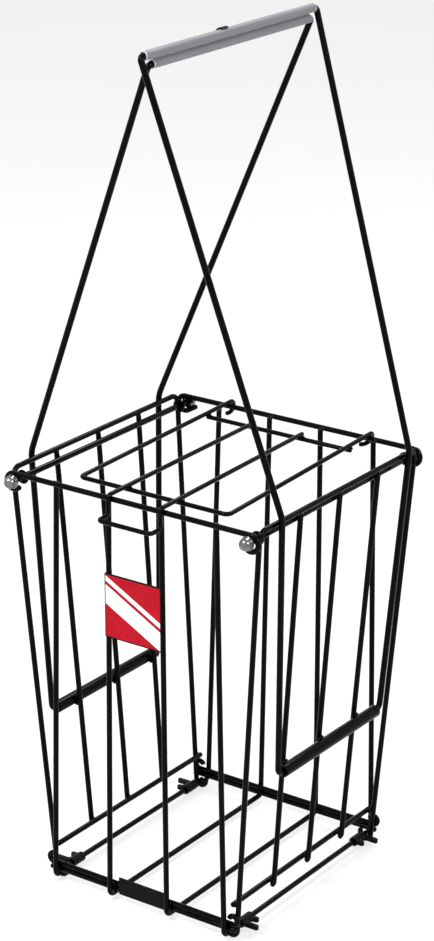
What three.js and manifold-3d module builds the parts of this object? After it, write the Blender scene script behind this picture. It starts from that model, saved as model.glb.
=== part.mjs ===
// A tennis ball hopper of coated steel wire: a tapered basket with a hinged lid, and two bail handles that
// swing down past the sides to become its legs. X runs along the front, Y from front to back, Z up. Places are
// counted from the ground under the middle of the basket, and every size is in millimetres. The finished group
// is centred on the part's overall depth.
import * as THREE from "three";
import { mergeVertices } from "three/addons/utils/BufferGeometryUtils.js";
import Module from "manifold-3d";

// Wire and rod diameters
const frameWire = 4.8;
const lidWire = 4;
const handleWire = 5.4;
const axleRod = 5.5;
const lowerRod = 4.7;

// Gap between pieces that are welded together or rest on each other, and the play of a pin in its hole
const contactGap = 0.3;

// Basket: places of the wires' centre lines
const rimHalfWidth = 125.5;
const rimHalfDepth = 121.9;
const sideRimHeight = 380;
const axleDrop = 8;
const postFootHalfWidth = 96.75;
const postFootHalfDepth = 105;
const frontBarFootHalfDepth = 115.4;
const floorHeight = 5.6;
const sideRailHeight = 32.3;
const innerBarTopX = 26.8;
const innerBarFootX = 30.4;
const outerBarTopX = 81.2;
const outerBarFootX = 90.2;
const barTopShift = 2.2;
const barTopRise = 0.5;
const sideBarTopY = 58.3;
const sideBarFootY = 53;

// Basket: bends, hooks, eyes and rings
const postBend = 8;
const hookRadius = 5.4;
const hookStub = 3;
const barHookSweep = (4 * Math.PI) / 9;
const railHookSweep = (11 * Math.PI) / 36;
const ringRadius = 4;
const ringInset = 0.4;
const ringSweep = (17 * Math.PI) / 12;

// The rim wires' eyes hang loose on the axles: play all round, the way they lean, sweep and straight tails
const eyePlay = 1.8;
const eyeLean = (17 * Math.PI) / 90;
const eyeSweep = (7 * Math.PI) / 6;
const frontEyeTail = 4;
const backEyeTail = 11;

// Fasteners on the axles; a washer's hub keeps its flange clear of the side frame's bend
const washerRadius = 6.2;
const washerThickness = 1;
const washerHubRadius = 4.3;
const washerHubLength = 2;
const capFlangeRadius = 6.2;
const capFlangeThickness = 1.2;
const capDomeRadius = 5.4;
const capDomeHeight = 8.6;
const capWall = 1.2;

// Pivot tubes, welded outside the side bars
const pivotHeight = 147;
const pivotTubeRadius = 5.4;
const pivotTubeShortEnd = 67;

// Leg clips on the lower rods
const clipLength = 16;
const clipSleeveRadius = 4.3;
const clipTine = 4.2;
const clipThickness = 4.4;
const clipLongReach = 17.3;
const clipShortReach = 10;
const clipSlotPlay = 0.5;
const clipPostGap = 2.4;

// Handles: the long end of each pivot tube is at the back on the right handle and at the front on the left
const handles = {
  right: {
    side: 1,
    bendHeight: 385,
    bendHalf: 96,
    bendShift: 2,
    gripX: 17.5,
    gripHeight: 746.8,
    gripHalf: 121.7,
    gripShift: -2.5,
  },
  left: {
    side: -1,
    bendHeight: 384,
    bendHalf: 90.7,
    bendShift: 5.6,
    gripX: 15.5,
    gripHeight: 738.1,
    gripHalf: 113.3,
    gripShift: 2.2,
  },
};
const legBend = 6;
const rimBend = 25;
const gripBend = 3.7;
const tubeInsert = 18;
const sleeveRadius = 3.8;
const gripClipPlace = -14;
const gripClipLength = 9;
const gripClipWall = 1.2;
const gripClipStart = (7 * Math.PI) / 18;
const gripClipSweep = (13 * Math.PI) / 18;

// Lid
const lidFrontCentreX = 5.9;
const lidFrontHalfWidth = 75.3;
const lidRearCentreX = 3.4;
const lidRearHalfWidth = 73.6;
const lidFrontDepth = 97.2;
const lidRearCrossDepth = 88;
const lidCorner = 5;
const curlPlay = 1.3;
const curlSweep = (10 * Math.PI) / 9;
const leftCurlTail = 3.5;
const rightCurlTail = 10;
const tabFrontCentreX = 8.8;
const tabFrontHalfWidth = 26.4;
const tabRearCentreX = 3.2;
const tabRearHalfWidth = 25.1;
const tabDrop = 17.6;
const tabReach = 13.7;
const tabBend = 4;

// Plates
const signCentreX = 1.5;
const signHeight = 281.5;
const signHalfWidth = 29.2;
const signHalfHeight = 28.8;
const signThickness = 1.2;
const stripCentreX = 2.75;
const stripHalfWidth = 24.6;
const stripBottom = 8.4;
const stripTop = 24.8;
const stripThickness = 1.2;

// Fineness of the round shapes
const wireSides = 10;
const turnedSides = 24;
const clipSides = 20;
const domeSteps = 4;
const bendStep = Math.PI / 8;
const curveSegments = 8;

// Colours and finishes
const coatedWire = { color: 0x0b0b0c, roughness: 0.28, metalness: 0 };
const chrome = { color: 0xd9dadb, roughness: 0.12, metalness: 1 };
const blackPlastic = { color: 0x0d0d0e, roughness: 0.45, metalness: 0 };
const greyVinyl = { color: 0x86878c, roughness: 0.35, metalness: 0 };
const redPaint = { color: 0xc4121c, roughness: 0.3, metalness: 0 };

// Places worked out from the sizes above
const frameRadius = frameWire / 2;
const lidRadius = lidWire / 2;
const handleRadius = handleWire / 2;
const axleRadius = axleRod / 2;
const lowerRodRadius = lowerRod / 2;
const weldSpacing = frameWire + contactGap;
const hookHeight = hookRadius + frameRadius;
const bottomBarHeight = floorHeight + weldSpacing;
const secondBarHeight = bottomBarHeight + weldSpacing;
const bottomBarDepth = frontBarFootHalfDepth - weldSpacing;
const axleHeight = sideRimHeight - axleDrop;
const eyeRadius = axleRadius + frameRadius + eyePlay;
const eyeShift = (eyePlay - contactGap) * Math.cos(eyeLean);
const eyeHeight = axleHeight - (eyePlay - contactGap) * Math.sin(eyeLean);
const endRimHeight = eyeHeight + eyeRadius;
const barTopDepth = rimHalfDepth - weldSpacing;
const barTopHeight = endRimHeight + barTopRise;

const panelSlope = (rimHalfWidth - postFootHalfWidth) / (sideRimHeight - hookHeight);
const panelAngle = Math.atan(panelSlope);
const panelX = (height) => postFootHalfWidth + (height - hookHeight) * panelSlope;
const postTopDepth = barTopDepth;
const postSlope = (postTopDepth - postFootHalfDepth) / (sideRimHeight - hookHeight);
const postDepth = (height) => postFootHalfDepth + (height - hookHeight) * postSlope;
const barSlope = (barTopDepth - frontBarFootHalfDepth) / (barTopHeight - bottomBarHeight);
const barDepth = (height) => frontBarFootHalfDepth + (height - bottomBarHeight) * barSlope;

const hookX = postFootHalfWidth - hookRadius / Math.cos(panelAngle);
const sideRailX = panelX(sideRailHeight) - weldSpacing / Math.cos(panelAngle);
const axleX = panelX(axleHeight) - (frameRadius + contactGap + axleRadius) / Math.cos(panelAngle);
const lowerRodHeight = hookHeight - hookRadius + frameRadius + contactGap + lowerRodRadius;
const pivotX = panelX(pivotHeight) + (frameRadius + contactGap + pivotTubeRadius) / Math.cos(panelAngle);
const rimContactX = rimHalfWidth + frameRadius + contactGap + handleRadius;
const legSlope = (rimContactX - pivotX) / (sideRimHeight - pivotHeight);
const legLead = legBend + contactGap;
const capStart = rimHalfDepth + frameRadius + contactGap;
const lidCurl = frameRadius + contactGap + lidRadius;
const tabDepth = -rimHalfDepth - lidCurl;

const at = (x, y, z) => new THREE.Vector3(x, y, z);
const hopper = new THREE.Group();

const wasm = await Module();
wasm.setup();

// A wire's centre line, given as its stations
class WireRoute extends THREE.Curve {
  constructor(stations) {
    super();
    this.stations = stations;
  }

  getSpacedPoints() {
    return this.stations;
  }

  getTangentAt(share) {
    const last = this.stations.length - 1;
    const here = Math.round(share * last);
    const tangent = at(0, 0, 0);
    if (here > 0) {
      tangent.add(this.stations[here].clone().sub(this.stations[here - 1]).normalize());
    }
    if (here < last) {
      tangent.add(this.stations[here + 1].clone().sub(this.stations[here]).normalize());
    }
    return tangent.normalize();
  }
}

// Stations along an arc that starts at centre + from * radius and sets off in the direction along
function arc(centre, from, along, radius, sweep) {
  const steps = Math.max(2, Math.ceil(sweep / bendStep));
  return Array.from({ length: steps + 1 }, (_, i) => {
    const turn = (sweep * i) / steps;
    return centre
      .clone()
      .addScaledVector(from, radius * Math.cos(turn))
      .addScaledVector(along, radius * Math.sin(turn));
  });
}

// Stations along a wire with straight runs, each inner corner rounded at its own bend radius
function bent(corners, bends) {
  const stations = [corners[0]];
  for (let i = 1; i < corners.length - 1; i += 1) {
    const bend = bends[i - 1];
    const before = corners[i].clone().sub(corners[i - 1]).normalize();
    const after = corners[i + 1].clone().sub(corners[i]).normalize();
    const turn = before.angleTo(after);
    const inward = after.clone().sub(before).normalize();
    const centre = corners[i].clone().addScaledVector(inward, bend / Math.cos(turn / 2));
    const start = corners[i].clone().addScaledVector(before, -bend * Math.tan(turn / 2));
    const from = start.sub(centre).divideScalar(bend);
    stations.push(...arc(centre, from, before, bend, turn));
  }
  stations.push(corners[corners.length - 1]);
  return stations;
}

// A round bar along the stations
function wire(stations, diameter) {
  const outline = Array.from({ length: wireSides }, (_, i) => {
    const turn = (2 * Math.PI * i) / wireSides;
    return new THREE.Vector2(Math.cos(turn), Math.sin(turn)).multiplyScalar(diameter / 2);
  });
  return new THREE.ExtrudeGeometry(new THREE.Shape(outline), {
    steps: stations.length - 1,
    extrudePath: new WireRoute(stations),
    bevelEnabled: false,
  });
}

// A turned piece about a Y axis, from its [radius, y] outline
function turned(outline, sides = turnedSides) {
  return new THREE.LatheGeometry(outline.map(([radius, y]) => new THREE.Vector2(radius, y)), sides);
}

// A round tube about a Y axis between two places
function tube(inner, outer, low, high) {
  return turned([
    [inner, low],
    [outer, low],
    [outer, high],
    [inner, high],
    [inner, low],
  ]);
}

function solidOf(geometry) {
  const bare = geometry.index ? geometry.toNonIndexed() : geometry.clone();
  bare.deleteAttribute("normal");
  bare.deleteAttribute("uv");
  const merged = mergeVertices(bare);
  return new wasm.Manifold(
    new wasm.Mesh({
      numProp: 3,
      vertProperties: merged.attributes.position.array,
      triVerts: new Uint32Array(merged.index.array),
    }),
  );
}

function geometryOf(solid) {
  const mesh = solid.getMesh();
  const geometry = new THREE.BufferGeometry();
  geometry.setAttribute("position", new THREE.BufferAttribute(mesh.vertProperties, 3));
  geometry.setIndex(new THREE.BufferAttribute(mesh.triVerts, 1));
  geometry.computeVertexNormals();
  return geometry;
}

function add(name, geometry, look) {
  const mesh = new THREE.Mesh(geometry, new THREE.MeshStandardMaterial(look));
  mesh.name = name;
  hopper.add(mesh);
  return mesh;
}

const sides = [["left", -1], ["right", 1]];
const ends = [["front", -1], ["back", 1]];

// Front and back rim wires: each runs over both axles and curls round them
function addRimWire(endName, end, tail) {
  const y = end * rimHalfDepth;
  const eye = (side) => {
    const centre = at(side * (axleX + eyeShift), y, eyeHeight);
    const turn = arc(centre, at(0, 0, 1), at(side, 0, 0), eyeRadius, eyeSweep);
    const leaving = at(side * Math.cos(eyeSweep), 0, -Math.sin(eyeSweep));
    return [...turn, turn[turn.length - 1].clone().addScaledVector(leaving, tail)];
  };
  const stations = [...eye(-1).reverse(), ...eye(1)];
  add("rim_wire_" + endName, wire(stations, frameWire), coatedWire);
}

// Side frame: one wire makes the side rim, two corner posts and the J hook feet
function addSideFrame(sideName, side) {
  const hook = (end) => {
    const centre = at(side * hookX, end * postFootHalfDepth, hookHeight);
    const turn = arc(centre, at(-side, 0, 0), at(0, 0, -1), hookRadius, Math.PI - panelAngle);
    return [turn[0].clone().add(at(0, 0, hookStub)), ...turn];
  };
  const front = hook(-1);
  const back = hook(1);
  const corners = [
    front.pop(),
    at(side * rimHalfWidth, -postTopDepth, sideRimHeight),
    at(side * rimHalfWidth, postTopDepth, sideRimHeight),
    back.pop(),
  ];
  const stations = [...front, ...bent(corners, [postBend, postBend]), ...back.reverse()];
  add("side_frame_" + sideName, wire(stations, frameWire), coatedWire);
}

// A bar's foot: it wraps under the bottom bar at its own depth, through the given sweep
function barFoot(x, end, sweep) {
  const centre = at(x, end * bottomBarDepth, bottomBarHeight);
  return arc(centre, at(0, end, 0), at(0, 0, -1), weldSpacing, sweep);
}

const barTop = (x, end) => at(x + barTopShift, end * barTopDepth, barTopHeight);

// The outer bars stop under the bottom bar
function addOuterBar(endName, end, sideName, side) {
  const stations = [barTop(side * outerBarTopX, end), ...barFoot(side * outerBarFootX, end, barHookSweep)];
  add("outer_bar_" + endName + "_" + sideName, wire(stations, frameWire), coatedWire);
}

// The inner grid wires run down the front, along the floor and up the back
function addGridWire(sideName, side) {
  const footX = side * innerBarFootX;
  const stations = [
    barTop(side * innerBarTopX, -1),
    ...barFoot(footX, -1, Math.PI / 2),
    ...barFoot(footX, 1, Math.PI / 2).reverse(),
    barTop(side * innerBarTopX, 1),
  ];
  add("grid_wire_" + sideName, wire(stations, frameWire), coatedWire);
}

// Bottom bar across the corner posts, and the second bar on it that ends in a ring on both sides
function addBottomBars(endName, end) {
  const y = end * bottomBarDepth;
  const reach = postFootHalfWidth + frameRadius;
  const bar = [at(-reach, y, bottomBarHeight), at(reach, y, bottomBarHeight)];
  add("bottom_bar_" + endName, wire(bar, frameWire), coatedWire);
  const ring = (side) =>
    arc(
      at(side * (postFootHalfWidth - ringInset), y, secondBarHeight + ringRadius),
      at(0, 0, -1),
      at(side, 0, 0),
      ringRadius,
      ringSweep,
    );
  const stations = [...ring(-1).reverse(), ...ring(1)];
  add("ring_bar_" + endName, wire(stations, frameWire), coatedWire);
}

// Side bars butt against the side rim and hook under the side rail
function addSideBars(sideName, side) {
  const top = sideRimHeight - frameRadius - contactGap;
  const outward = at(side * Math.cos(panelAngle), 0, -Math.sin(panelAngle));
  const down = at(-side * Math.sin(panelAngle), 0, -Math.cos(panelAngle));
  const places = { front: -1, middle: 0, back: 1 };
  Object.entries(places).forEach(([placeName, place]) => {
    const rail = at(side * sideRailX, place * sideBarFootY, sideRailHeight);
    const stations = [
      at(side * panelX(top), place * sideBarTopY, top),
      ...arc(rail, outward, down, weldSpacing, railHookSweep),
    ];
    add("side_bar_" + sideName + "_" + placeName, wire(stations, frameWire), coatedWire);
  });
  const reach = postDepth(sideRailHeight) + frameRadius;
  const rail = [at(side * sideRailX, -reach, sideRailHeight), at(side * sideRailX, reach, sideRailHeight)];
  add("side_rail_" + sideName, wire(rail, frameWire), coatedWire);
}

// The lower rod lies in the J hooks of its side
function addLowerRod(sideName, side) {
  const reach = postFootHalfDepth + frameRadius;
  const x = side * hookX;
  const rod = [at(x, -reach, lowerRodHeight), at(x, reach, lowerRodHeight)];
  add("lower_rod_" + sideName, wire(rod, lowerRod), coatedWire);
}

// Axle, with a washer inside each corner post and a chrome cap nut outside each eye
function addAxle(sideName, side) {
  const boreDepth = capDomeHeight - capWall;
  const reach = capStart + boreDepth - contactGap;
  const x = side * axleX;
  add("axle_" + sideName, wire([at(x, -reach, axleHeight), at(x, reach, axleHeight)], axleRod), coatedWire);
  const bore = axleRadius + contactGap;
  const washerOutside = postDepth(axleHeight) - frameRadius - contactGap;
  const dome = Array.from({ length: domeSteps + 1 }, (_, i) => {
    const turn = (Math.PI * i) / (2 * domeSteps);
    return [capDomeRadius * Math.cos(turn), capDomeHeight - capDomeRadius * (1 - Math.sin(turn))];
  });
  dome[dome.length - 1] = [0, capDomeHeight];
  const cap = [[0, boreDepth], [bore, boreDepth], [bore, 0], [capFlangeRadius, 0]];
  cap.push([capFlangeRadius, capFlangeThickness], [capDomeRadius, capFlangeThickness], ...dome);
  ends.forEach(([endName, end]) => {
    const name = "_" + endName + "_" + sideName;
    const facing = end < 0 ? Math.PI : 0;
    const washer = turned([
      [bore, -washerHubLength - washerThickness],
      [washerRadius, -washerHubLength - washerThickness],
      [washerRadius, -washerHubLength],
      [washerHubRadius, -washerHubLength],
      [washerHubRadius, 0],
      [bore, 0],
      [bore, -washerHubLength - washerThickness],
    ]);
    const capMesh = add("cap_nut" + name, turned(cap), chrome);
    capMesh.position.set(x, end * capStart, axleHeight);
    capMesh.rotation.x = facing;
    const washerMesh = add("washer" + name, washer, coatedWire);
    washerMesh.position.set(x, end * washerOutside, axleHeight);
    washerMesh.rotation.x = facing;
  });
}

// How far below the pivot a leg passes the lower rod, as a share of the leg's straight run
const legShareAtRod = ({ bendHeight }) => (pivotHeight - lowerRodHeight) / (bendHeight - pivotHeight);

// The long end of the pivot tubes sets the right back leg beside its clip, which clears the corner post
function longTubeEnd() {
  const { bendHalf, bendShift } = handles.right;
  const share = legShareAtRod(handles.right);
  const legDepth = postFootHalfDepth - frameRadius - clipPostGap - clipLength / 2;
  return (legDepth - (bendShift + bendHalf) * share) / (1 - share) - legLead;
}

// Where the pivot tube of a side starts and ends
function tubeEnds(side) {
  return side > 0 ? [-pivotTubeShortEnd, longTubeEnd()] : [-longTubeEnd(), pivotTubeShortEnd];
}

// Corners of a bail handle, from inside the front end of its tube to inside the back end
function handleCorners({ side, bendHeight, bendHalf, bendShift, gripX, gripHeight, gripHalf, gripShift }) {
  const [front, back] = tubeEnds(side);
  const x = side * pivotX;
  const bendX = side * (pivotX + legSlope * (bendHeight - pivotHeight));
  return [
    at(x, front + tubeInsert, pivotHeight),
    at(x, front - legLead, pivotHeight),
    at(bendX, bendShift - bendHalf, bendHeight),
    at(gripX, gripShift - gripHalf, gripHeight),
    at(gripX, gripShift + gripHalf, gripHeight),
    at(bendX, bendShift + bendHalf, bendHeight),
    at(x, back + legLead, pivotHeight),
    at(x, back - tubeInsert, pivotHeight),
  ];
}

function addHandle(sideName) {
  const handle = handles[sideName];
  const corners = handleCorners(handle);
  const bends = [legBend, rimBend, gripBend, gripBend, rimBend, legBend];
  add("handle_wire_" + sideName, wire(bent(corners, bends), handleWire), coatedWire);
  const bore = handleRadius + contactGap;
  const half = handle.gripHalf - gripBend - contactGap;
  const sleeve = tube(bore, sleeveRadius, handle.gripShift - half, handle.gripShift + half);
  add("grip_sleeve_" + sideName, sleeve, greyVinyl).position.set(handle.gripX, 0, handle.gripHeight);
  const [low, high] = tubeEnds(handle.side);
  const pivotTube = add("pivot_tube_" + sideName, tube(bore, pivotTubeRadius, low, high), coatedWire);
  pivotTube.position.set(handle.side * pivotX, 0, pivotHeight);
}

// Small clip that hugs the top and far side of the upper sleeve
function addGripClip() {
  const inner = sleeveRadius + contactGap;
  const outer = inner + gripClipWall;
  const finish = gripClipStart + gripClipSweep;
  const outline = new THREE.Shape();
  outline.absarc(0, 0, outer, gripClipStart, finish, false);
  outline.absarc(0, 0, inner, finish, gripClipStart, true);
  const clip = new THREE.ExtrudeGeometry(outline, { depth: gripClipLength, bevelEnabled: false, curveSegments });
  const mesh = add("grip_clip", clip, blackPlastic);
  mesh.rotation.x = Math.PI / 2;
  mesh.position.set(handles.right.gripX, gripClipPlace + gripClipLength / 2, handles.right.gripHeight);
}

// Forked clip on the lower rod: its slot takes a handle leg that hangs beside the rod
function clipGeometry() {
  const slot = handleRadius + contactGap + clipSlotPlay;
  const across = slot + clipTine;
  const tip = clipTine / 2;
  const boreRadius = lowerRodRadius + contactGap;
  const root = (boreRadius + clipSleeveRadius) / 2;
  const outline = new THREE.Shape();
  outline.moveTo(root, -across);
  outline.lineTo(clipShortReach - tip, -across);
  outline.absarc(clipShortReach - tip, -slot - tip, tip, -Math.PI / 2, Math.PI / 2, false);
  outline.absarc(clipSleeveRadius + slot, 0, slot, -Math.PI / 2, Math.PI / 2, true);
  outline.absarc(clipLongReach - tip, slot + tip, tip, -Math.PI / 2, Math.PI / 2, false);
  outline.lineTo(root, across);
  const fork = new THREE.ExtrudeGeometry(outline, { depth: clipThickness, bevelEnabled: false, curveSegments });
  fork.translate(0, 0, -clipThickness / 2);
  const sleeveOutline = [
    [0, -clipLength / 2],
    [clipSleeveRadius, -clipLength / 2],
    [clipSleeveRadius, clipLength / 2],
    [0, clipLength / 2],
  ];
  const boreOutline = [
    [0, -clipLength],
    [boreRadius, -clipLength],
    [boreRadius, clipLength],
    [0, clipLength],
  ];
  const sleeve = turned(sleeveOutline, clipSides);
  const bore = turned(boreOutline, clipSides);
  return geometryOf(solidOf(fork).add(solidOf(sleeve)).subtract(solidOf(bore)));
}

// How far out in Y a leg stands where it passes the lower rod, once the handle is swung down
function legDepthAtRod(handle, end) {
  const tubeCorner = tubeEnds(handle.side)[end < 0 ? 0 : 1] + end * legLead;
  const bendCorner = handle.bendShift + end * handle.bendHalf;
  return tubeCorner + (bendCorner - tubeCorner) * legShareAtRod(handle);
}

function addLegClips(sideName, side) {
  ends.forEach(([endName, end]) => {
    const mesh = add("leg_clip_" + endName + "_" + sideName, clipGeometry(), blackPlastic);
    mesh.position.set(side * hookX, legDepthAtRod(handles[sideName], end), lowerRodHeight);
    mesh.rotation.set(end < 0 && side > 0 ? Math.PI : 0, end > 0 && side < 0 ? Math.PI : 0, 0);
    if (end < 0 && side < 0) {
      mesh.rotation.z = Math.PI;
    }
  });
}

// Lid: it rests on the front rim and swings about the back rim wire
function addLid() {
  const rest = endRimHeight + lidCurl;
  const lidSpacing = lidWire + contactGap;
  const frontHeight = rest - lidSpacing;
  const rearShare = (rimHalfDepth - lidRearCrossDepth) / (rimHalfDepth + lidFrontDepth);
  const frontX = (side) => lidFrontCentreX + side * lidFrontHalfWidth;
  const rearX = (side) => lidRearCentreX + side * lidRearHalfWidth;
  const curl = (x, tail) => {
    const curlRadius = frameRadius + lidRadius + curlPlay;
    const turn = arc(at(x, rimHalfDepth, rest - curlRadius), at(0, 0, 1), at(0, 1, 0), curlRadius, curlSweep);
    const last = turn.length - 1;
    return turn.map((station, i) => station.add(at(-tail * (i / last) ** 2, 0, 0)));
  };
  const leftCurl = curl(rearX(-1), leftCurlTail).reverse();
  const corners = [
    leftCurl.pop(),
    at(frontX(-1), -lidFrontDepth, frontHeight),
    at(frontX(1), -lidFrontDepth, frontHeight),
    at(rearX(1), rimHalfDepth, rest),
  ];
  const rightCurl = curl(rearX(1), rightCurlTail).slice(1);
  const frame = [...leftCurl, ...bent(corners, [lidCorner, lidCorner]), ...rightCurl];
  add("lid_frame_wire", wire(frame, lidWire), coatedWire);

  const crossHeight = rest - lidSpacing * rearShare - lidSpacing;
  const crossX = (side) => rearX(side) + (frontX(side) - rearX(side)) * rearShare + side * lidRadius;
  const cross = [at(crossX(-1), lidRearCrossDepth, crossHeight), at(crossX(1), lidRearCrossDepth, crossHeight)];
  add("lid_cross_wire", wire(cross, lidWire), coatedWire);

  const tabHeight = rest - tabDrop;
  const leg = (side) => {
    const legFrontX = tabFrontCentreX + side * tabFrontHalfWidth;
    return [
      at(tabRearCentreX + side * tabRearHalfWidth, lidRearCrossDepth + lidRadius, crossHeight + lidSpacing),
      at(legFrontX, tabDepth, rest),
      at(legFrontX, tabDepth, tabHeight),
      at(legFrontX, tabDepth - tabReach, tabHeight),
    ];
  };
  const tabCorners = [...leg(-1), ...leg(1).reverse()];
  add("lid_tab_wire", wire(bent(tabCorners, tabCorners.slice(2).fill(tabBend)), lidWire), coatedWire);
}

// A flat plate, from its corners in X and Z and the depth of its back face
function plate(low, high, backDepth, thickness) {
  const box = new THREE.BoxGeometry(high.x - low.x, thickness, high.z - low.z);
  box.translate((low.x + high.x) / 2, -backDepth - thickness / 2, (low.z + high.z) / 2);
  return box;
}

function addPlates() {
  const barFace = barDepth(signHeight - signHalfHeight) + frameRadius;
  const topFace = barDepth(signHeight + signHalfHeight) + frameRadius;
  const signBack = Math.max(barFace, topFace) + contactGap;
  const signLow = at(signCentreX - signHalfWidth, 0, signHeight - signHalfHeight);
  const signHigh = at(signCentreX + signHalfWidth, 0, signHeight + signHalfHeight);
  add("sign_plate", plate(signLow, signHigh, signBack, signThickness), redPaint);
  const stripLow = at(stripCentreX - stripHalfWidth, 0, stripBottom);
  const stripHigh = at(stripCentreX + stripHalfWidth, 0, stripTop);
  const stripBack = bottomBarDepth + frameRadius + contactGap;
  add("strip_plate", plate(stripLow, stripHigh, stripBack, stripThickness), blackPlastic);
}

addRimWire("front", -1, frontEyeTail);
addRimWire("back", 1, backEyeTail);
ends.forEach(([endName, end]) => {
  addBottomBars(endName, end);
  sides.forEach(([sideName, side]) => addOuterBar(endName, end, sideName, side));
});
sides.forEach(([sideName, side]) => {
  addSideFrame(sideName, side);
  addGridWire(sideName, side);
  addSideBars(sideName, side);
  addLowerRod(sideName, side);
  addAxle(sideName, side);
  addHandle(sideName);
  addLegClips(sideName, side);
});
addGripClip();
addLid();
addPlates();

const frontDepth = tabDepth - tabReach - lidRadius;
const backDepth = capStart + capDomeHeight;
hopper.position.y = -(frontDepth + backDepth) / 2;

const group = new THREE.Group();
group.add(hopper);

export default group;
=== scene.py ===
# Looks of a tennis ball hopper of coated steel wire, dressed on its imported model. X runs along the front,
# Y from front to back, Z up. Sizes and places are in millimetres, and MM turns them into the scene's metres.
import math
from types import SimpleNamespace

import bmesh
import bpy
from mathutils import Matrix, Vector, noise


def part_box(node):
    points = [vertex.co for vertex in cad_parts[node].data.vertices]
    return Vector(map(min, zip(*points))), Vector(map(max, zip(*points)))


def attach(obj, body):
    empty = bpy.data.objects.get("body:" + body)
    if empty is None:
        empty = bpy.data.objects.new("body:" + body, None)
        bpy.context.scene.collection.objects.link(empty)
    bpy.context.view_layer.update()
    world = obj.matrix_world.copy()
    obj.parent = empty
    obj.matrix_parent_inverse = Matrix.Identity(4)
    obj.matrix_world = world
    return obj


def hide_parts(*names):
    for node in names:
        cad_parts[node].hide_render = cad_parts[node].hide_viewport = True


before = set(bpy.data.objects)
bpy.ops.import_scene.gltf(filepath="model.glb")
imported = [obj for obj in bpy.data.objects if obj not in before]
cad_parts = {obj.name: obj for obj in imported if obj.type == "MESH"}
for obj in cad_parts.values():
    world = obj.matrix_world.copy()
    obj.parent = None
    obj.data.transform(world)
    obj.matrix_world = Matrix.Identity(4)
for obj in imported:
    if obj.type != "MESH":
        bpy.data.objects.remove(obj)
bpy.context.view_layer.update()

MM = 0.001

# Wire and rod diameters, and the gap between pieces that touch
FRAME_WIRE = 4.8
LID_WIRE = 4
HANDLE_WIRE = 5.4
AXLE_ROD = 5.5
LOWER_ROD = 4.7
GAP = 0.3

# Basket: places of the wires' centre lines
RIM_HALF_WIDTH = 125.5
RIM_HALF_DEPTH = 121.9
SIDE_RIM_HEIGHT = 380
AXLE_DROP = 8
POST_FOOT_HALF_WIDTH = 96.75
POST_FOOT_HALF_DEPTH = 105
BAR_FOOT_HALF_DEPTH = 115.4
FLOOR_HEIGHT = 5.6
SIDE_RAIL_HEIGHT = 32.3
INNER_BAR_TOP_X = 26.8
INNER_BAR_FOOT_X = 30.4
OUTER_BAR_TOP_X = 81.2
OUTER_BAR_FOOT_X = 90.2
BAR_TOP_SHIFT = 2.2
BAR_TOP_RISE = 0.5
SIDE_BAR_TOP_Y = 58.3
SIDE_BAR_FOOT_Y = 53

# Basket: bends, hooks and rings
POST_BEND = 8
HOOK_RADIUS = 5.4
HOOK_STUB = 3
BAR_HOOK_SWEEP = math.radians(80)
RAIL_HOOK_SWEEP = math.radians(55)
RING_RADIUS = 4
RING_INSET = 0.4
RING_SWEEP = math.radians(255)

# The rim wires' eyes hang loose on the axles: play all round, the way they lean, sweep and straight tails
EYE_PLAY = 1.8
EYE_LEAN = math.radians(34)
EYE_SWEEP = math.radians(210)
EYE_TAILS = {"front": 4, "back": 11}

# Fasteners on the axles
WASHER_RADIUS = 6.2
WASHER_THICKNESS = 1
WASHER_HUB_RADIUS = 4.3
WASHER_HUB_LENGTH = 2
CAP_FLANGE_RADIUS = 6.2
CAP_FLANGE_THICKNESS = 1.2
CAP_COLLAR_RADIUS = 5.7
CAP_COLLAR_HEIGHT = 2.6
CAP_DOME_RADIUS = 5.4
CAP_HEIGHT = 8.6

# Pivot tubes
PIVOT_HEIGHT = 147
PIVOT_TUBE_RADIUS = 5.4
TUBE_SHORT_END = 67
TUBE_INSERT = 18

# Handles. Halves and shifts run along Y, a shift to the back, and the bend lies just above the rim
HANDLES = {
    "left": SimpleNamespace(
        bend_height=384, bend_half=90.7, bend_shift=5.6,
        grip_x=15.5, grip_height=738.1, grip_half=113.3, grip_shift=2.2,
    ),
    "right": SimpleNamespace(
        bend_height=385, bend_half=96, bend_shift=2,
        grip_x=17.5, grip_height=746.8, grip_half=121.7, grip_shift=-2.5,
    ),
}
LEG_BEND = 6
RIM_BEND = 25
GRIP_BEND = 3.7

# Grip sleeves, slightly wavy along their length, and the clip on the upper one
SLEEVE_RADIUS = 3.8
SLEEVE_WAVE = 0.05
SLEEVE_WAVE_RATE = 0.09
SLEEVE_LIP_SHARE = 0.8
SLEEVE_ROUNDING_SHARES = (0.25, 0.125, 0.5)
GRIP_CLIP_PLACE = -14
GRIP_CLIP_LENGTH = 9
GRIP_CLIP_WALL = 1.2
GRIP_CLIP_START = math.radians(70)
GRIP_CLIP_SWEEP = math.radians(130)

# Leg clips on the lower rods
CLIP_LENGTH = 16
CLIP_SLEEVE_RADIUS = 4.3
CLIP_TINE = 4.2
CLIP_THICKNESS = 4.4
CLIP_LONG_REACH = 17.3
CLIP_SHORT_REACH = 10
CLIP_SLOT_PLAY = 0.5
CLIP_POST_GAP = 2.4

# Lid
LID_FRONT_CENTRE_X = 5.9
LID_FRONT_HALF_WIDTH = 75.3
LID_REAR_CENTRE_X = 3.4
LID_REAR_HALF_WIDTH = 73.6
LID_FRONT_DEPTH = 97.2
LID_CROSS_DEPTH = 88
LID_CORNER = 5
CURL_PLAY = 1.3
CURL_SWEEP = math.radians(200)
CURL_TAILS = {-1: 3.5, 1: 10}
TAB_FRONT_CENTRE_X = 8.8
TAB_FRONT_HALF_WIDTH = 26.4
TAB_REAR_CENTRE_X = 3.2
TAB_REAR_HALF_WIDTH = 25.1
TAB_DROP = 17.6
TAB_REACH = 13.7
TAB_BEND = 4

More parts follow.
